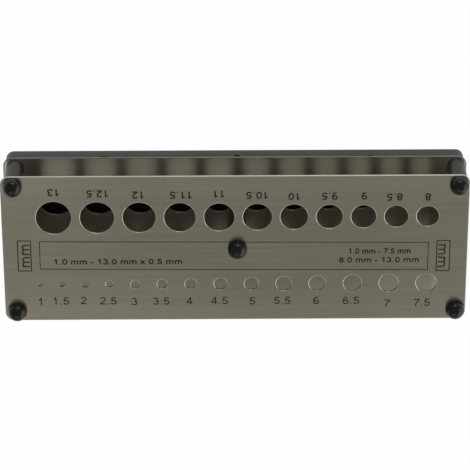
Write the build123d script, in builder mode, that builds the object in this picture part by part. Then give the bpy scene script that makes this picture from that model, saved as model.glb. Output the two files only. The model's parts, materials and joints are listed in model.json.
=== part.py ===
from build123d import *
import os

# Two-tier drill bit stand, all sizes in millimetres.
# +X runs along the stand, +Y to its back, +Z up, and the origin is the middle of the underside.

plate_length = 175.0
plate_width = 60.0
plate_thickness = 1.0
plate_corner = 3.4
plate_gap = 16.0
edge_break = 0.2

tray_inset = 0.6
tray_height = 7.5
tray_wall = 2.0
tray_floor = 2.0
tray_corner = 3.2
tray_lip = 0.4
# notches in the rim of the back wall: place along it, width and depth
notches = [(-49.5, 3.4, 1.9), (0.8, 2.2, 2.7), (51.1, 3.4, 1.9)]

# drills that each row takes, from the left, and the steel left between two holes
back_drills = [13.0 - 0.5 * step for step in range(11)]
front_drills = [1.0 + 0.5 * step for step in range(14)]
back_web = 3.5
front_web = 7.0
drill_clearance = 0.25
back_row_y = 13.1
front_row_y = -14.8
row_shift = 0.8

post_span = 166.4
post_shift = 0.3
post_depth = 52.0
spacer_diameter = 6.8
spacer_bore = 2.7

screw_diameter = 2.5
screw_length = 25.0
head_diameter = 4.6
head_height = 1.8
head_socket = 2.0
head_pocket = 2.6
pocket_diameter = 5.0

nut_flats = 5.0
nut_height = 2.0

cap_diameter = 7.2
cap_skirt = 0.7
cap_socket = 2.25
socket_flats = 5.1

boss_diameter = 7.0

middle_z = tray_height
top_z = tray_height + plate_thickness + plate_gap
deck_z = top_z + plate_thickness

left_x = post_shift - post_span / 2
right_x = post_shift + post_span / 2
posts = {
    "front_left": (left_x, -post_depth / 2),
    "front_right": (right_x, -post_depth / 2),
    "back_left": (left_x, post_depth / 2),
    "back_right": (right_x, post_depth / 2),
    "centre": (row_shift, 0.0),
}


def row_places(drills, web, y):
    # centres of one row, with the same web of steel between neighbours
    row_length = sum(drills) + web * (len(drills) - 1)
    edge = row_shift - row_length / 2
    places = []
    for drill in drills:
        places.append((edge + drill / 2, y))
        edge += drill + web
    return places


drills = back_drills + front_drills
holes = row_places(back_drills, back_web, back_row_y) + row_places(front_drills, front_web, front_row_y)

os.makedirs("parts", exist_ok=True)

# the two perforated plates are the same pressing, one on the tray and one on the spacers
for name, bottom_z in (("middle_plate", middle_z), ("top_plate", top_z)):
    with BuildPart() as plate:
        with BuildSketch(Plane.XY.offset(bottom_z)):
            RectangleRounded(plate_length, plate_width, plate_corner)
            for drill, place in zip(drills, holes):
                with Locations(place):
                    Circle((drill + drill_clearance) / 2, mode=Mode.SUBTRACT)
            with Locations(*posts.values()):
                Circle(spacer_bore / 2, mode=Mode.SUBTRACT)
        extrude(amount=plate_thickness)
        outline = plate.faces().sort_by(Axis.Z)[-1].outer_wire().edges()
        chamfer(outline, edge_break)
    plate.part.label = name
    export_step(plate.part, "parts/" + name + ".step")

# moulded tray: open on top, drill tips stand on its floor, a boss under each post
with BuildPart() as tray:
    tray_length = plate_length - 2 * tray_inset
    tray_width = plate_width - 2 * tray_inset
    with BuildSketch():
        RectangleRounded(tray_length, tray_width, tray_corner)
    extrude(amount=tray_height)
    chamfer(tray.faces().sort_by(Axis.Z)[0].edges(), tray_lip)
    with BuildSketch(Plane.XY.offset(tray_floor)):
        RectangleRounded(tray_length - 2 * tray_wall, tray_width - 2 * tray_wall, tray_corner - tray_wall)
    extrude(amount=tray_height - tray_floor, mode=Mode.SUBTRACT)
    with BuildSketch(Plane.XY.offset(tray_floor)):
        with Locations(*posts.values()):
            Circle(boss_diameter / 2)
        RectangleRounded(tray_length, tray_width, tray_corner, mode=Mode.INTERSECT)
    extrude(amount=tray_height - tray_floor)
    with Locations(*[(x, y, 0) for x, y in posts.values()]):
        Cylinder(screw_diameter / 2 + 0.1, tray_height, align=(Align.CENTER, Align.CENTER, Align.MIN),
                 mode=Mode.SUBTRACT)
        Cylinder(pocket_diameter / 2, head_pocket, align=(Align.CENTER, Align.CENTER, Align.MIN),
                 mode=Mode.SUBTRACT)
    # round-bottomed notches, the middle one narrower and deeper
    with BuildSketch(Plane.XZ.offset(-tray_width / 2 - 1)):
        for place, width, depth in notches:
            with Locations((place, tray_height)):
                SlotOverall(2 * depth, width, rotation=90)
    extrude(amount=tray_wall + 1.5, mode=Mode.SUBTRACT)
tray.part.label = "base_tray"
export_step(tray.part, "parts/base_tray.step")

for name, (x, y) in posts.items():
    # spacer tube between the plates
    with BuildPart() as spacer:
        with BuildSketch(Plane.XY.offset(middle_z + plate_thickness)):
            with Locations((x, y)):
                Circle(spacer_diameter / 2)
                Circle(spacer_bore / 2, mode=Mode.SUBTRACT)
        extrude(amount=plate_gap)
    spacer.part.label = "spacer_" + name
    export_step(spacer.part, "parts/spacer_" + name + ".step")

    # tie screw, its pan head up inside the pocket under the boss
    with BuildPart() as screw:
        with BuildSketch(Plane.XY.offset(head_pocket)):
            with Locations((x, y)):
                Circle(screw_diameter / 2)
        extrude(amount=screw_length)
        with BuildSketch(Plane.XY.offset(head_pocket - head_height)):
            with Locations((x, y)):
                Circle(head_diameter / 2)
        extrude(amount=head_height)
        with BuildSketch(Plane.XY.offset(head_pocket - head_height)):
            with Locations((x, y)):
                RegularPolygon(head_socket / 2, 6, major_radius=False)
        extrude(amount=head_height / 2, mode=Mode.SUBTRACT)
    screw.part.label = "tie_screw_" + name
    export_step(screw.part, "parts/tie_screw_" + name + ".step")

    # hexagon nut that clamps the stack on the top plate
    with BuildPart() as nut:
        with BuildSketch(Plane.XY.offset(deck_z)):
            with Locations((x, y)):
                RegularPolygon(nut_flats / 2, 6, major_radius=False)
        extrude(amount=nut_height)
        with Locations((x, y, deck_z)):
            Hole(screw_diameter / 2)
    nut.part.label = "nut_" + name
    export_step(nut.part, "parts/nut_" + name + ".step")

# glossy domed caps, pressed over the nuts, a pair to each long side and one in the middle
cap_groups = {
    "caps_front": ("front_left", "front_right"),
    "caps_back": ("back_left", "back_right"),
    "cap_centre": ("centre",),
}
for name, under in cap_groups.items():
    places = [posts[post] for post in under]
    with BuildPart() as caps:
        with BuildSketch(Plane.XZ):
            with BuildLine():
                radius = cap_diameter / 2
                Polyline((0, cap_skirt + radius), (0, 0), (radius, 0), (radius, cap_skirt))
                RadiusArc((radius, cap_skirt), (0, cap_skirt + radius), -radius)
            make_face()
        dome = revolve(axis=Axis.Z, mode=Mode.PRIVATE)
        with Locations(*[(x, y, deck_z) for x, y in places]):
            add(dome)
        with BuildSketch(Plane.XY.offset(deck_z)):
            with Locations(*places):
                RegularPolygon(socket_flats / 2, 6, major_radius=False)
        extrude(amount=cap_socket, mode=Mode.SUBTRACT)
    caps.part.label = name
    export_step(caps.part, "parts/" + name + ".step")
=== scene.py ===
import json
from math import cos, hypot, pi, radians, sin

import bmesh
import bpy
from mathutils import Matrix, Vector


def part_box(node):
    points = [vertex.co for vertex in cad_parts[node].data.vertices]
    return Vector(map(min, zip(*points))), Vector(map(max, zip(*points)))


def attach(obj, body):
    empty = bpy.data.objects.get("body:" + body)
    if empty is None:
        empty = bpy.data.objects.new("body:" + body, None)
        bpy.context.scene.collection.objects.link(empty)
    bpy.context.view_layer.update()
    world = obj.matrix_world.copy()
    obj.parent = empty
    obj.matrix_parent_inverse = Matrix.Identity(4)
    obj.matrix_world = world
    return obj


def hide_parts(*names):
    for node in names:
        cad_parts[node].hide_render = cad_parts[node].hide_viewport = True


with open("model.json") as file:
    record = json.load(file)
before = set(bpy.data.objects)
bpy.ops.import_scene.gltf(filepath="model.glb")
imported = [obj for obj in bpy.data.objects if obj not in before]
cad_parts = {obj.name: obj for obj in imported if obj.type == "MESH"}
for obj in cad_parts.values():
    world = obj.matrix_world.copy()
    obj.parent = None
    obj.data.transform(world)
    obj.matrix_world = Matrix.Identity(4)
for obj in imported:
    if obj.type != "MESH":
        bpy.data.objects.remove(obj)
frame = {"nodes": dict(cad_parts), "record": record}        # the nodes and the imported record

scene = bpy.context.scene
nodes = frame["nodes"]
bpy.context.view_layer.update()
mm = 0.001
weldGap = 0.0005 * mm        # points nearer than this are one point

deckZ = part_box("top_plate")[1].z
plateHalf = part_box("top_plate")[1].xy
corners = ["front_left", "front_right", "back_left", "back_right", "centre"]
# every drill hole: its size as words, with _ for the point, its place and its radius
drillHoles = [(mount["name"].removeprefix("drill_"), *mount["pos_m"][:2], mount["dims"]["r_mm"] * mm)
              for mount in frame["record"]["mounts"] if mount["kind"] == "bore"]
print("frame loaded:", len(nodes), "nodes,", len(drillHoles), "drill holes")


def linkPiece(name, mesh):
    piece = bpy.data.objects.new(name, mesh)
    scene.collection.objects.link(piece)
    return piece


def meshFrom(bm, name):
    mesh = bpy.data.meshes.new(name)
    bm.to_mesh(mesh)
    bm.free()
    return mesh


def nodeCentre(node):
    low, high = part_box(node)
    return (low.x + high.x) / 2, (low.y + high.y) / 2


# camera, a long lens over the large-hole side, with the stand's back edge up in the picture
camera = dict(lens=194.5, sensor=36, near=0.01, far=20, place=(-3.5, 421.75, 882.7),
              tilt=-25.887, swing=-0.305, roll=-0.159)

camData = bpy.data.cameras.new("photoCamera")
camData.lens = camera["lens"]
camData.sensor_width = camera["sensor"]
camData.clip_start = camera["near"]
camData.clip_end = camera["far"]
camPiece = linkPiece("photoCamera", camData)
camPiece.location = Vector(camera["place"]) * mm
camPiece.rotation_euler = (radians(camera["tilt"]), radians(camera["swing"]), radians(camera["roll"]))
scene.camera = camPiece
scene.view_settings.view_transform = "Standard"
print("camera set")


def srgb(red, green, blue):
    # 0-255 screen values to the linear colour that a socket wants
    linear = [((v / 255 + 0.055) / 1.055) ** 2.4 if v > 10 else v / 255 / 12.92 for v in (red, green, blue)]
    return (*linear, 1.0)


def nodeTree(name):
    mat = bpy.data.materials.new(name)
    mat.use_nodes = True
    tree = mat.node_tree
    tree.nodes.clear()
    return mat, tree


def put(tree, kind, at=(0, 0), **values):
    node = tree.nodes.new(kind)
    node.location = at
    for key, value in values.items():
        setattr(node, key, value)
    return node


def feed(tree, socket, value):
    # value is another node's output, or a plain number or colour
    if isinstance(value, bpy.types.NodeSocket):
        tree.links.new(value, socket)
    else:
        socket.default_value = value


def shaderOut(tree, shader):
    out = put(tree, "ShaderNodeOutputMaterial", (600, 0))
    tree.links.new(shader.outputs[0], out.inputs["Surface"])


def mathNode(tree, operation, *values, clamp=False):
    node = put(tree, "ShaderNodeMath", operation=operation, use_clamp=clamp)
    for socket, value in zip(node.inputs, values):
        feed(tree, socket, value)
    return node.outputs[0]


def blend(tree, factor, first, second, at=(-200, 100)):
    mix = put(tree, "ShaderNodeMix", at, data_type="RGBA")
    for label, value in (("Factor", factor), ("A", first), ("B", second)):
        feed(tree, mix.inputs[label], value)
    return mix.outputs["Result"]


def noiseMask(tree, vector, scale, detail, roughness=0.5):
    noise = put(tree, "ShaderNodeTexNoise", (-400, -250))
    for label, value in (("Vector", vector), ("Scale", scale), ("Detail", detail), ("Roughness", roughness)):
        feed(tree, noise.inputs[label], value)
    return noise.outputs["Fac"]


def bumpNormal(tree, height, strength, depth):
    bump = put(tree, "ShaderNodeBump", (0, -300))
    for label, value in (("Height", height), ("Strength", strength), ("Distance", depth)):
        feed(tree, bump.inputs[label], value)
    return bump.outputs["Normal"]


def newGroup(name, ins, outs):
    # a shader group with number sockets; gives its two ends and the object coordinates too
    group = bpy.data.node_groups.new(name, "ShaderNodeTree")
    for label, value in ins.items():
        socket = group.interface.new_socket(name=label, in_out="INPUT", socket_type="NodeSocketFloat")
        socket.default_value = value
    for label in outs:
        group.interface.new_socket(name=label, in_out="OUTPUT", socket_type="NodeSocketFloat")
    coord = put(group, "ShaderNodeTexCoord", (-900, -250)).outputs["Object"]
    return group, put(group, "NodeGroupInput", (-900, 0)), put(group, "NodeGroupOutput", (700, 0)), coord


def useGroup(tree, group, at, **values):
    node = put(tree, "ShaderNodeGroup", at, node_tree=group)
    for label, value in values.items():
        node.inputs[label].default_value = value
    return node.outputs


def makeGrainGroup():
    # straight brushed lines along X, and the broad faint bands that they lie in
    group, ins, outs, coord = newGroup("brushedGrain", dict(Length=18.0, Lines=2600.0, Bands=420.0),
                                       ["Lines", "Bands"])
    for label, detail in (("Lines", 3.0), ("Bands", 2.0)):
        scale = put(group, "ShaderNodeCombineXYZ", (-700, 0))
        for axis, source in enumerate(("Length", label, label)):
            group.links.new(ins.outputs[source], scale.inputs[axis])
        stretch = put(group, "ShaderNodeVectorMath", (-550, 0), operation="MULTIPLY")
        group.links.new(coord, stretch.inputs[0])
        group.links.new(scale.outputs[0], stretch.inputs[1])
        group.links.new(noiseMask(group, stretch.outputs[0], 1.0, detail, 0.6), outs.inputs[label])
    return group


def makeCloudGroup():
    # soft blotches, for handling marks and uneven mouldings
    group, ins, outs, coord = newGroup("softClouds", dict(Size=60.0, Low=0.4, High=0.7), ["Mask"])
    spread = put(group, "ShaderNodeMapRange")
    feed(group, spread.inputs["Value"], noiseMask(group, coord, ins.outputs["Size"], 4.0))
    feed(group, spread.inputs["From Min"], ins.outputs["Low"])
    feed(group, spread.inputs["From Max"], ins.outputs["High"])
    group.links.new(spread.outputs["Result"], outs.inputs["Mask"])
    return group


def makeMouldGroup():
    # the fine grain that a mould leaves on plastic
    group, ins, outs, coord = newGroup("mouldGrain", dict(Size=5000.0), ["Height"])
    group.links.new(noiseMask(group, coord, ins.outputs["Size"], 2.0), outs.inputs["Height"])
    return group


# painted light and shade on a plate: painted light rising away from its middle, painted light at its ends,
# painted shade on the small-hole side;
# places in mm, and each rise per metre
paintedLight = dict(edgeLightMiddle=(10.0, -4.0), edgeLightAlong=0.4, edgeLightAcross=0.5, endLightFrom=75.0, endLightRise=160.0,
            frontShadeMiddle=-20.0, frontShadeHalf=90.0, frontShadeRise=-90.0)


def makePaintedLightGroup():
    # Painted light rises from the middle of a plate to its ends and long edges, so the middle stays darker.
    # The end light stands only at the very ends. The painted shade fades to both ends and lies on the
    # small-hole side only.
    group, ins, outs, coord = newGroup("platePaintedLight", dict(Polish=1.0, Bright=0.0, Dust=0.0),
                                       ["Polish", "Bright", "Dust"])
    parts = put(group, "ShaderNodeSeparateXYZ", (-700, -250))
    group.links.new(coord, parts.inputs[0])
    x, y = parts.outputs["X"], parts.outputs["Y"]

    def squaredShare(value, middle, half):
        share = mathNode(group, "DIVIDE", mathNode(group, "SUBTRACT", value, middle * mm), half)
        return mathNode(group, "MULTIPLY", share, share)

    middleX, middleY = paintedLight["edgeLightMiddle"]
    across = mathNode(group, "MULTIPLY", squaredShare(y, middleY, plateHalf.y), paintedLight["edgeLightAcross"])
    along = squaredShare(x, middleX, plateHalf.x)
    edgeLight = mathNode(group, "MULTIPLY_ADD", along, paintedLight["edgeLightAlong"], across, clamp=True)
    endLight = mathNode(group, "SUBTRACT", mathNode(group, "ABSOLUTE", x), paintedLight["endLightFrom"] * mm)
    endLight = mathNode(group, "MULTIPLY", endLight, paintedLight["endLightRise"], clamp=True)
    frontShade = mathNode(group, "MULTIPLY", y, paintedLight["frontShadeRise"], clamp=True)
    fade = squaredShare(x, paintedLight["frontShadeMiddle"], paintedLight["frontShadeHalf"] * mm)
    frontShade = mathNode(group, "MULTIPLY", frontShade, mathNode(group, "SUBTRACT", 1.0, fade, clamp=True))
    for label, mask in (("Polish", edgeLight), ("Bright", endLight), ("Dust", frontShade)):
        group.links.new(mathNode(group, "MULTIPLY", mask, ins.outputs[label]), outs.inputs[label])
    return group


grainGroup = makeGrainGroup()
cloudGroup = makeCloudGroup()
mouldGroup = makeMouldGroup()
paintedLightGroup = makePaintedLightGroup()

# brushed steel: its grain, what the lines and clouds do to colour and roughness, the colour of the painted
# light at the ends, and its four tones, two of them rim copies for a painted highlight and painted shade
steel = dict(grain=dict(Length=18.0, Lines=2600.0, Bands=420.0), clouds=dict(Size=28.0, Low=0.42, High=0.72),
             lines=0.7, bands=0.5, base=-0.25, cloudStain=0.25, cloudRough=0.04, lineRough=0.06,
             bump=0.35, grainDepth=0.0008, endLightColour=(205, 203, 188))
steelTones = dict(
    # top plate: painted light lifts its colour towards its ends and long edges, leaving the middle darker
    topSheet=dict(light=(153, 149, 132), dark=(118, 114, 100), stainAndShadeColour=(128, 123, 108),
                 edgeLight=0.6, endLight=0.0, frontShade=0.0, rough=0.26, drawn=0.85),
    # middle plate: painted light at its very ends and painted shade on its small-hole side
    sheltered=dict(light=(164, 160, 144), dark=(148, 144, 127), stainAndShadeColour=(120, 116, 101),
                   edgeLight=0.0, endLight=0.9, frontShade=0.5, rough=0.26, drawn=0.85),
    # the top plate's hole rims and outline edge: a lighter copy of the steel, a painted highlight
    highlitRim=dict(light=(190, 187, 176), dark=(174, 171, 160), stainAndShadeColour=(174, 170, 158),
                    edgeLight=0.0, endLight=0.0, frontShade=0.0, rough=0.3, drawn=0.2),
    # the middle plate's hole rims and outline edge: a darker copy of the steel, painted shade
    shadedRim=dict(light=(118, 115, 105), dark=(102, 99, 90), stainAndShadeColour=(102, 98, 88),
                     edgeLight=0.0, endLight=0.0, frontShade=0.0, rough=0.36, drawn=0.2),
)


def makeSteel(name):
    mat, tree = nodeTree("brushedStainless_" + name)
    tone = steelTones[name]
    shader = put(tree, "ShaderNodeBsdfPrincipled", (250, 0))
    shader.inputs["Metallic"].default_value = 1.0
    shader.inputs["Anisotropic"].default_value = tone["drawn"]
    grain = useGroup(tree, grainGroup, (-600, 0), **steel["grain"])
    clouds = useGroup(tree, cloudGroup, (-600, -300), **steel["clouds"])["Mask"]
    paintedMasks = useGroup(tree, paintedLightGroup, (-600, 300), Polish=tone["edgeLight"], Bright=tone["endLight"],
                    Dust=tone["frontShade"])

    # the brushed lines and bands lift the colour, and so does the painted light away from the plate's middle
    lift = mathNode(tree, "MULTIPLY_ADD", grain["Lines"], steel["lines"], paintedMasks["Polish"])
    lift = mathNode(tree, "MULTIPLY_ADD", grain["Bands"], steel["bands"], lift)
    lift = mathNode(tree, "ADD", lift, steel["base"], clamp=True)
    # the cloud stains and the painted shade on the small-hole side both pull towards one darker colour
    stainAndShade = mathNode(tree, "MULTIPLY_ADD", clouds, steel["cloudStain"], paintedMasks["Dust"], clamp=True)
    colour = blend(tree, lift, srgb(*tone["dark"]), srgb(*tone["light"]), (-300, 100))
    colour = blend(tree, stainAndShade, colour, srgb(*tone["stainAndShadeColour"]), (-80, 100))
    # painted light at the very ends of the plate
    colour = blend(tree, paintedMasks["Bright"], colour, srgb(*steel["endLightColour"]), (80, 200))
    tree.links.new(colour, shader.inputs["Base Color"])

    rough = mathNode(tree, "MULTIPLY_ADD", grain["Lines"], steel["lineRough"], tone["rough"])
    rough = mathNode(tree, "MULTIPLY_ADD", clouds, steel["cloudRough"], rough)
    tree.links.new(rough, shader.inputs["Roughness"])
    normal = bumpNormal(tree, grain["Lines"], steel["bump"], steel["grainDepth"] * mm)
    tree.links.new(normal, shader.inputs["Normal"])
    # glints spread across the grain
    across = put(tree, "ShaderNodeTangent", (0, -500), direction_type="RADIAL", axis="X")
    tree.links.new(across.outputs["Tangent"], shader.inputs["Tangent"])
    shaderOut(tree, shader)
    return mat


# the other finishes: two shades in soft clouds that also roughen, and on the plastics a mould grain
finishes = dict(
    trayPlastic=dict(dark=(34, 34, 32), pale=(41, 41, 38), clouds=dict(Size=45.0, Low=0.35, High=0.75),
                     rough=0.42, cloudRough=0.08, metal=0.0, gloss=0.2, grain=5200.0, grainDepth=0.01),
    tubePlastic=dict(dark=(22, 21, 18), pale=(29, 28, 25), clouds=dict(Size=120.0, Low=0.35, High=0.75),
                     rough=0.36, cloudRough=0.08, metal=0.0, gloss=0.18, grain=3800.0, grainDepth=0.006),
    capPlastic=dict(dark=(14, 14, 11), pale=(24, 25, 20), clouds=dict(Size=420.0, Low=0.35, High=0.75),
                    rough=0.2, cloudRough=0.08, metal=0.0, gloss=0.27, grain=1700.0, grainDepth=0.045),
    etchedInk=dict(dark=(46, 35, 26), pale=(64, 51, 39), clouds=dict(Size=1800.0, Low=0.3, High=0.8),
                   rough=0.6, cloudRough=0.15, metal=0.0, gloss=0.15),
    zincPlate=dict(dark=(150, 148, 142), pale=(182, 180, 172), clouds=dict(Size=900.0, Low=0.35, High=0.75),
                   rough=0.28, cloudRough=0.15, metal=1.0, gloss=0.5),
)
mouldBump = 0.4


def makeFinish(name):
    mat, tree = nodeTree(name)
    look = finishes[name]
    shader = put(tree, "ShaderNodeBsdfPrincipled", (250, 0))
    shader.inputs["Metallic"].default_value = look["metal"]
    shader.inputs["Specular IOR Level"].default_value = look["gloss"]
    clouds = useGroup(tree, cloudGroup, (-600, 0), **look["clouds"])["Mask"]
    colour = blend(tree, clouds, srgb(*look["dark"]), srgb(*look["pale"]))
    tree.links.new(colour, shader.inputs["Base Color"])
    rough = mathNode(tree, "MULTIPLY_ADD", clouds, look["cloudRough"], look["rough"])
    tree.links.new(rough, shader.inputs["Roughness"])
    if "grain" in look:
        height = useGroup(tree, mouldGroup, (-400, -300), Size=look["grain"])["Height"]
        tree.links.new(bumpNormal(tree, height, mouldBump, look["grainDepth"] * mm), shader.inputs["Normal"])
    shaderOut(tree, shader)
    return mat


topSteel, middleSteel, highlitRimSteel, shadedRimSteel = [makeSteel(name) for name in steelTones]
trayMat, tubeMat, capMat, etchMat, zincMat = [makeFinish(name) for name in finishes]
print("materials made")

# softened edges of the tray and the spacer tubes, in mm, where faces meet at more than this angle
softEdge = dict(tray=0.25, tube=0.35, steps=3, sharpFrom=50)


def makeSmoother():
    # shades every face smooth, so that the corners of the moulding run into its flat walls
    group = bpy.data.node_groups.new("shadeAllSmooth", "GeometryNodeTree")
    for way in ("INPUT", "OUTPUT"):
        group.interface.new_socket(name="Geometry", in_out=way, socket_type="NodeSocketGeometry")
    shade = put(group, "GeometryNodeSetShadeSmooth")
    group.links.new(put(group, "NodeGroupInput", (-200, 0)).outputs[0], shade.inputs["Geometry"])
    group.links.new(shade.outputs["Geometry"], put(group, "NodeGroupOutput", (200, 0)).inputs[0])
    return group


smoother = makeSmoother()


def dress(node, mat, bevel=0.0):
    # the solid keeps its mesh; welding and a fine bevel are modifiers on top of it
    piece = nodes[node]
    for slot in piece.material_slots:
        slot.link = "OBJECT"
        slot.material = mat
    if not piece.material_slots:
        piece.data.materials.append(mat)
    if bevel:
        weld = piece.modifiers.new("weld", "WELD")
        weld.merge_threshold = weldGap
        piece.modifiers.new("shading", "NODES").node_group = smoother
        edge = piece.modifiers.new("edgeBreak", "BEVEL")
        edge.width = bevel * mm
        edge.segments = softEdge["steps"]
        edge.limit_method = "ANGLE"
        edge.angle_limit = radians(softEdge["sharpFrom"])
        even = piece.modifiers.new("evenNormals", "WEIGHTED_NORMAL")
        even.weight = 100
        even.keep_sharp = False


dress("base_tray", trayMat, softEdge["tray"])
for corner in corners:
    dress("spacer_" + corner, tubeMat, softEdge["tube"])
    dress("tie_screw_" + corner, zincMat)
    dress("nut_" + corner, zincMat)
print("solids dressed")

# both plates are one pressing: a rounded blank with every hole broken at the edge; sizes in mm
plate = dict(corner=3.4, burr=0.3, burrSteps=3, postHole=2.7, curveSteps=20, plainHole=1.2, plainReach=2.0)
# how far a face's normal stands up, from 0 on the wall of a hole to 1 on the broad faces
normalRise = dict(wall=0.1, broad=0.99, deadFlat=0.999)
arcHandle = 0.5523        # handle length, for radius 1, that makes a curved span a quarter circle


def circleSpline(curve, x, y, radius):
    spline = curve.splines.new("BEZIER")
    spline.bezier_points.add(3)
    spline.use_cyclic_u = True
    for i, point in enumerate(spline.bezier_points):
        turn = i * pi / 2
        spot = Vector((x + radius * cos(turn), y + radius * sin(turn), 0))
        along = Vector((-sin(turn), cos(turn), 0)) * arcHandle * radius
        point.co, point.handle_left, point.handle_right = spot, spot - along, spot + along


def blankSpline(curve, low, high, radius):
    # a rounded rectangle: each corner arc has a point at its start and one at its end
    spline = curve.splines.new("BEZIER")
    spline.bezier_points.add(7)
    spline.use_cyclic_u = True
    middles = [(high.x - radius, low.y + radius), (high.x - radius, high.y - radius),
               (low.x + radius, high.y - radius), (low.x + radius, low.y + radius)]
    for i, (x, y) in enumerate(middles):
        for j in range(2):
            turn = (i - 1 + j) * pi / 2
            spot = Vector((x + radius * cos(turn), y + radius * sin(turn), 0))
            along = Vector((-sin(turn), cos(turn), 0)) * arcHandle * radius
            point = spline.bezier_points[2 * i + j]
            point.co = spot
            point.handle_left = spot - along * j
            point.handle_right = spot + along * (1 - j)


def toOutline(spot):
    # how far inside the rounded blank a point lies
    radius = plate["corner"] * mm
    x = abs(spot.x) - plateHalf.x + radius
    y = abs(spot.y) - plateHalf.y + radius
    return radius - (hypot(x, y) if min(x, y) > 0 else max(x, y))


def plateMesh(name, low, high):
    # the blank and its holes as one filled curve, whose bevel is the broken edge
    curve = bpy.data.curves.new(name, "CURVE")
    curve.dimensions = "2D"
    curve.fill_mode = "BOTH"
    curve.resolution_u = plate["curveSteps"]
    curve.bevel_depth = plate["burr"] * mm
    curve.bevel_resolution = plate["burrSteps"]
    curve.offset = -plate["burr"] * mm
    curve.extrude = (high.z - low.z) / 2 - plate["burr"] * mm
    blankSpline(curve, low, high, plate["corner"] * mm)
    for size, x, y, radius in drillHoles:
        circleSpline(curve, x, y, radius)
    for corner in corners:
        circleSpline(curve, *nodeCentre("spacer_" + corner), plate["postHole"] / 2 * mm)
    shape = linkPiece(name, curve)
    mesh = bpy.data.meshes.new_from_object(shape.evaluated_get(bpy.context.evaluated_depsgraph_get()))
    bpy.data.objects.remove(shape)
    return mesh


def makePlate(node, sheet, rim):
    low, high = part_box(node)
    mesh = plateMesh(node + "_blank", low, high)
    # the smallest holes get no painted highlight: their rims keep the sheet's colour
    plainHoles = [Vector((x, y)) for size, x, y, radius in drillHoles if radius < plate["plainHole"] * mm]
    bm = bmesh.new()
    bm.from_mesh(mesh)
    bmesh.ops.remove_doubles(bm, verts=bm.verts, dist=weldGap)
    for face in bm.faces:
        face.smooth = True
        face.material_index = 0
        middle, rise = face.calc_center_median(), abs(face.normal.z)
        plain = any((middle.xy - spot).length < plate["plainReach"] * mm for spot in plainHoles)
        if rise < normalRise["broad"] and not plain:
            outer = toOutline(middle) < plate["burr"] * mm
            # the broken rims and the outline's edge get the rim copy: a painted highlight on the top plate,
            # painted shade on the middle one
            face.material_index = 1 if outer or rise > normalRise["wall"] else 0
    for edge in bm.edges:
        flats = [abs(face.normal.z) > normalRise["deadFlat"] for face in edge.link_faces]
        edge.smooth = flats.count(True) != 1      # the broad faces stay dead flat
    mesh.materials.clear()
    bm.to_mesh(mesh)
    bm.free()
    mesh.materials.append(sheet)
    mesh.materials.append(rim)
    piece = linkPiece(node + "_pressing", mesh)
    piece.location.z = (low.z + high.z) / 2
    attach(piece, "root")
    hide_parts(node)


makePlate("top_plate", topSteel, highlitRimSteel)
makePlate("middle_plate", middleSteel, shadedRimSteel)
print("plates made")

# domed caps, turned from one profile, each standing for the solid it covers; sizes in mm
cap = dict(rim=0.15, wall=0.45, turns=72, domeSteps=18)
capsOver = dict(caps_front=("front_left", "front_right"), caps_back=("back_left", "back_right"),
                cap_centre=("centre",))


def turned(name, profile, turns):
    # spins a profile of (radius, height) about Z; a point on the axis stays one point
    bm = bmesh.new()
    spin = [2 * pi * i / turns for i in range(turns)]
    rings = []
    for radius, height in profile:
        places = [(radius * cos(t), radius * sin(t), height) for t in spin] if radius else [(0, 0, height)]
        rings.append([bm.verts.new(place) for place in places])
    for low, high in zip(rings, rings[1:]):
        for i in range(turns):
            j = (i + 1) % turns
            ring = [low[i % len(low)], low[j % len(low)], high[j % len(high)], high[i % len(high)]]
            unique = list(dict.fromkeys(ring))
            if len(unique) > 2:
                bm.faces.new(unique)
    bmesh.ops.recalc_face_normals(bm, faces=bm.faces)
    mesh = meshFrom(bm, name)
    mesh.shade_smooth()
    return mesh


def capProfile():
    low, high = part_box("cap_centre")
    radius, rim = (high.x - low.x) / 2 / mm, cap["rim"]
    skirt = (high.z - low.z) / mm - radius
    points = [(radius - cap["wall"], 0.0), (radius - rim, 0.0), (radius, rim)]
    for step in range(cap["domeSteps"]):
        angle = pi / 2 * step / cap["domeSteps"]
        points.append((radius * cos(angle), skirt + radius * sin(angle)))
    points.append((0.0, skirt + radius))
    return [(r * mm, h * mm) for r, h in points]


def makeCaps():
    for node, under in capsOver.items():
        for corner in under:
            mesh = turned("cap", capProfile(), cap["turns"])
            mesh.materials.append(capMat)
            piece = linkPiece("domed_cap_" + corner, mesh)
            piece.location = (*nodeCentre("nut_" + corner), deckZ)
            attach(piece, "root")
            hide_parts(node)


makeCaps()
print("caps made")

# etched marks, in mm: sizes beside the holes, a ruled frame between the rows, plain ranges in it and
# a boxed unit at each end; weight is the stroke's width as a share of the height
etch = dict(thick=0.01, layers=4, layerStep=0.1, mitre=0.6, widen=1.12)
sizeRows = dict(back=dict(height=2.85, weight=0.198, turn=180, gap=3.65),
                front=dict(height=3.1, weight=0.142, turn=0, shift=-0.4, y=-22.1))
ruledFrame = dict(spot=(-0.5, -2.95), size=(146.2, 11.5), line=0.3, turn=-0.4)
ranges = dict(
    mark_range=dict(words="1.0 mm - 13.0 mm x 0.5 mm", spot=(-68.7, -5.2), height=2.2, weight=0.235,
                    widen=1.27, align=0),
    mark_front_range=dict(words="1.0 mm - 7.5 mm", spot=(54.3, -1.2), height=2.2, weight=0.215, widen=1.02),
    mark_back_range=dict(words="8.0 mm - 13.0 mm", spot=(54.2, -4.9), height=2.2, weight=0.215, widen=1.22),
)
unit = dict(box=(4.9, 12.6), line=0.38, height=4.0, weight=0.135)
unitPlaces = dict(left=((-79.4, -2.65), 90), right=((78.3, -3.3), -90))
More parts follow.
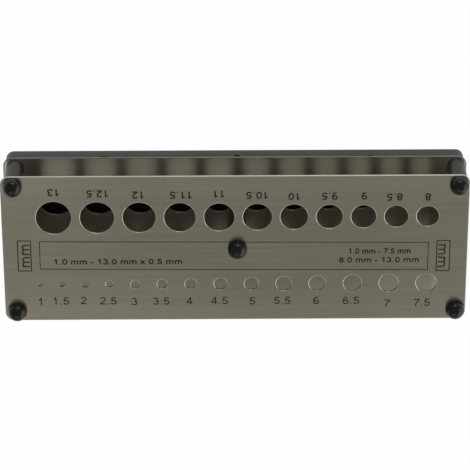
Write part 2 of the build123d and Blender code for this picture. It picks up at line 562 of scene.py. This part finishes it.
# sizes that the engraver set a little off, sideways and towards the back
strays = {"13": (0.3, 0.2), "12_5": (0.5, -0.1), "12": (-0.1, -0.4), "11_5": (0.6, -0.3), "11": (-0.1, 0.3),
          "10": (0.1, -0.3), "9": (0.1, 0.3), "8_5": (-0.8, 0.0), "8": (-0.1, 0.2), "1": (0.4, 0.0),
          "1_5": (-0.2, 0.3), "2": (-0.3, 0.5), "2_5": (-0.2, 0.3), "3_5": (-0.1, 0.1), "4": (-0.1, 0.1),
          "4_5": (0.1, 0.2), "5": (0.7, 0.0), "5_5": (-0.1, 0.1), "7": (-0.1, -1.2), "7_5": (-1.1, -1.0)}


def arc(cx, cy, rx, ry, start, end, steps=14):
    # part of an ellipse, angles in degrees, anticlockwise from +X
    turns = [radians(start + (end - start) * i / steps) for i in range(steps + 1)]
    return [(cx + rx * cos(t), cy + ry * sin(t)) for t in turns]


# each character: how far it moves the next one on, and its centre lines, on a body one unit high
strokes = {
    "0": (0.78, [arc(0.39, 0.5, 0.25, 0.43, 90, 450, 28)]),
    "1": (0.78, [[(0.17, 0.72), (0.33, 0.82), (0.43, 0.97)], [(0.44, 1.0), (0.44, 0.0)]]),
    "2": (0.78, [arc(0.39, 0.7, 0.24, 0.23, 170, -22) + [(0.45, 0.37), (0.2, 0.17), (0.12, 0.07)],
                 [(0.07, 0.07), (0.7, 0.07)]]),
    "3": (0.78, [arc(0.37, 0.72, 0.21, 0.21, 165, -90), arc(0.38, 0.28, 0.26, 0.22, 90, -165, 18)]),
    "4": (0.78, [[(0.5, 0.94), (0.1, 0.29)], [(0.05, 0.26), (0.73, 0.26)], [(0.53, 1.0), (0.53, 0.0)]]),
    "5": (0.78, [[(0.67, 0.93), (0.22, 0.93)], [(0.24, 0.96), (0.16, 0.48)],
                 arc(0.38, 0.32, 0.26, 0.25, 140, -165, 20)]),
    "6": (0.78, [arc(0.39, 0.3, 0.25, 0.24, 90, 450, 26), arc(0.45, 0.5, 0.31, 0.43, 62, 186, 16)]),
    "7": (0.78, [[(0.09, 0.92), (0.7, 0.92)], [(0.68, 0.9)] + arc(0.98, 0.0, 0.68, 0.86, 112, 180, 10)]),
    "8": (0.78, [arc(0.39, 0.73, 0.21, 0.2, 90, 450, 24), arc(0.39, 0.28, 0.26, 0.22, 90, 450, 26)]),
    "9": (0.78, [arc(0.39, 0.7, 0.25, 0.24, 90, 450, 26), arc(0.33, 0.5, 0.31, 0.43, -118, 6, 16)]),
    ".": (0.39, [[(0.2, 0.0), (0.2, 0.14)]]),
    "-": (0.47, [[(0.06, 0.36), (0.41, 0.36)]]),
    "m": (1.16, [[(0.16, 0.0), (0.16, 0.72)], arc(0.37, 0.45, 0.21, 0.21, 165, 0, 10) + [(0.58, 0.0)],
                 arc(0.79, 0.45, 0.21, 0.21, 165, 0, 10) + [(1.0, 0.0)]]),
    "x": (0.7, [[(0.08, 0.0), (0.6, 0.72)], [(0.08, 0.72), (0.6, 0.0)]]),
    " ": (0.39, []),
}


def ribbon(bm, points, width, bottom, top):
    # a flat stroke of even width along a line of points, as a thin solid
    points = [Vector(point) for point in points]
    closed = (points[0] - points[-1]).length < weldGap
    if closed:
        points.pop()
    count = len(points)
    rings = []
    for i, here in enumerate(points):
        before = points[i - 1] if closed or i else here
        after = points[(i + 1) % count] if closed or i < count - 1 else here
        one, two = here - before, after - here
        one = one.normalized() if one.length else two.normalized()
        two = two.normalized() if two.length else one
        side = Vector((-(one + two).y, (one + two).x)).normalized()
        side *= width / 2 / max(etch["mitre"], side.dot(Vector((-one.y, one.x))))
        left, right = here + side, here - side
        ring = ((left, bottom), (right, bottom), (right, top), (left, top))
        rings.append([bm.verts.new((spot.x, spot.y, z)) for spot, z in ring])
    spans = list(zip(rings, rings[1:])) + ([(rings[-1], rings[0])] if closed else [])
    for near, far in spans:
        for i in range(4):
            j = (i + 1) % 4
            bm.faces.new((near[i], near[j], far[j], far[i]))
    if not closed:
        bm.faces.new(rings[0])
        bm.faces.new(reversed(rings[-1]))


def etchedPiece(name, lines, width, spot, turn=0.0):
    bm = bmesh.new()
    for i, line in enumerate(lines):
        # crossing strokes never share a surface
        top = etch["thick"] * (1 + etch["layerStep"] * (i % etch["layers"]))
        ribbon(bm, [(x * mm, y * mm) for x, y in line], width * mm, -etch["thick"] * mm, top * mm)
    bmesh.ops.recalc_face_normals(bm, faces=bm.faces)
    mesh = meshFrom(bm, name)
    mesh.materials.append(etchMat)
    piece = linkPiece(name, mesh)
    piece.location = (spot[0] * mm, spot[1] * mm, deckZ)
    piece.rotation_euler.z = radians(turn)
    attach(piece, "root")


def etchedWords(name, words, spot, height, weight, turn=0.0, align=0.5, widen=etch["widen"]):
    # align is the share of the words' length that lies before the spot
    at = -sum(strokes[letter][0] for letter in words) * align
    lines = []
    for letter in words:
        step, centreLines = strokes[letter]
        for line in centreLines:
            lines.append([((at + x) * height * widen, (y - 0.5) * height) for x, y in line])
        at += step
    etchedPiece(name, lines, weight * height, spot, turn)


def ruledBox(name, spot, size, line, turn=0.0):
    x, y = size[0] / 2, size[1] / 2
    etchedPiece(name, [[(-x, -y), (x, -y), (x, y), (-x, y), (-x, -y)]], line, spot, turn)


def markSizes():
    for size, x, y, radius in drillHoles:
        strayX, strayY = strays.get(size, (0.0, 0.0))
        row = sizeRows["back" if y > 0 else "front"]
        if y > 0:
            spot = (x / mm + strayX, (y + radius) / mm + row["gap"] + strayY)
        else:
            spot = (x / mm + row["shift"] + strayX, row["y"] + strayY)
        etchedWords("mark_" + size, size.replace("_", "."), spot, row["height"], row["weight"], row["turn"])


def markFrame():
    ruledBox("mark_frame", **ruledFrame)
    for name, row in ranges.items():
        etchedWords(name, **row)
    for side, (spot, turn) in unitPlaces.items():
        ruledBox("mark_unit_frame_" + side, spot, unit["box"], unit["line"])
        etchedWords("mark_unit_" + side, "mm", spot, unit["height"], unit["weight"], turn)


markSizes()
markFrame()
print("etched marks made")

# stage: a white table that keeps a trace of the stand's shadow
tableTop = dict(half=3.0, drop=0.02 * mm, colour=(0.8, 0.8, 0.8, 1), glow=0.985)


def makeStage():
    bm = bmesh.new()
    bmesh.ops.create_grid(bm, x_segments=2, y_segments=2, size=tableTop["half"])
    table = linkPiece("table", meshFrom(bm, "table"))
    table.location.z = -tableTop["drop"]
    mat, tree = nodeTree("whiteTable")
    diffuse = put(tree, "ShaderNodeBsdfDiffuse", (-200, 0))
    diffuse.inputs["Color"].default_value = tableTop["colour"]
    glow = put(tree, "ShaderNodeEmission", (-200, -200))
    rays = put(tree, "ShaderNodeLightPath", (-600, 200))
    mix = put(tree, "ShaderNodeMixShader", (200, 0))
    seen = mathNode(tree, "MAXIMUM", rays.outputs["Is Camera Ray"], rays.outputs["Is Glossy Ray"])
    seen = mathNode(tree, "MAXIMUM", seen, rays.outputs["Is Transmission Ray"])
    seen = mathNode(tree, "MULTIPLY", seen, tableTop["glow"])
    for socket, value in zip(mix.inputs, (seen, diffuse.outputs[0], glow.outputs[0])):
        tree.links.new(value, socket)
    shaderOut(tree, mix)
    table.data.materials.append(mat)


# soft lamps, all aimed at the middle of the stand; places and sizes in metres
lamps = dict(
    card=dict(place=(-0.12, -0.91, 1.05), size=(1.1, 0.4), power=1.9),
    window=dict(place=(1.2, -0.45, 0.5), size=(2.2, 0.9), power=12.0),
    softbox=dict(place=(0.15, 1.4, 0.36), size=(0.6, 0.35), power=3.4),
)
worldLevel = 0.35


def makeLight():
    for name, lamp in lamps.items():
        data = bpy.data.lights.new(name, "AREA")
        data.shape = "RECTANGLE"
        data.size, data.size_y = lamp["size"]
        data.energy = lamp["power"]
        piece = linkPiece(name, data)
        piece.location = lamp["place"]
        piece.rotation_euler = Vector(lamp["place"]).to_track_quat("Z", "Y").to_euler()
    world = bpy.data.worlds.new("room")
    world.use_nodes = True
    world.node_tree.nodes["Background"].inputs["Color"].default_value = (1, 1, 1, 1)
    world.node_tree.nodes["Background"].inputs["Strength"].default_value = worldLevel
    scene.world = world


makeStage()
makeLight()
print("stage and light set")
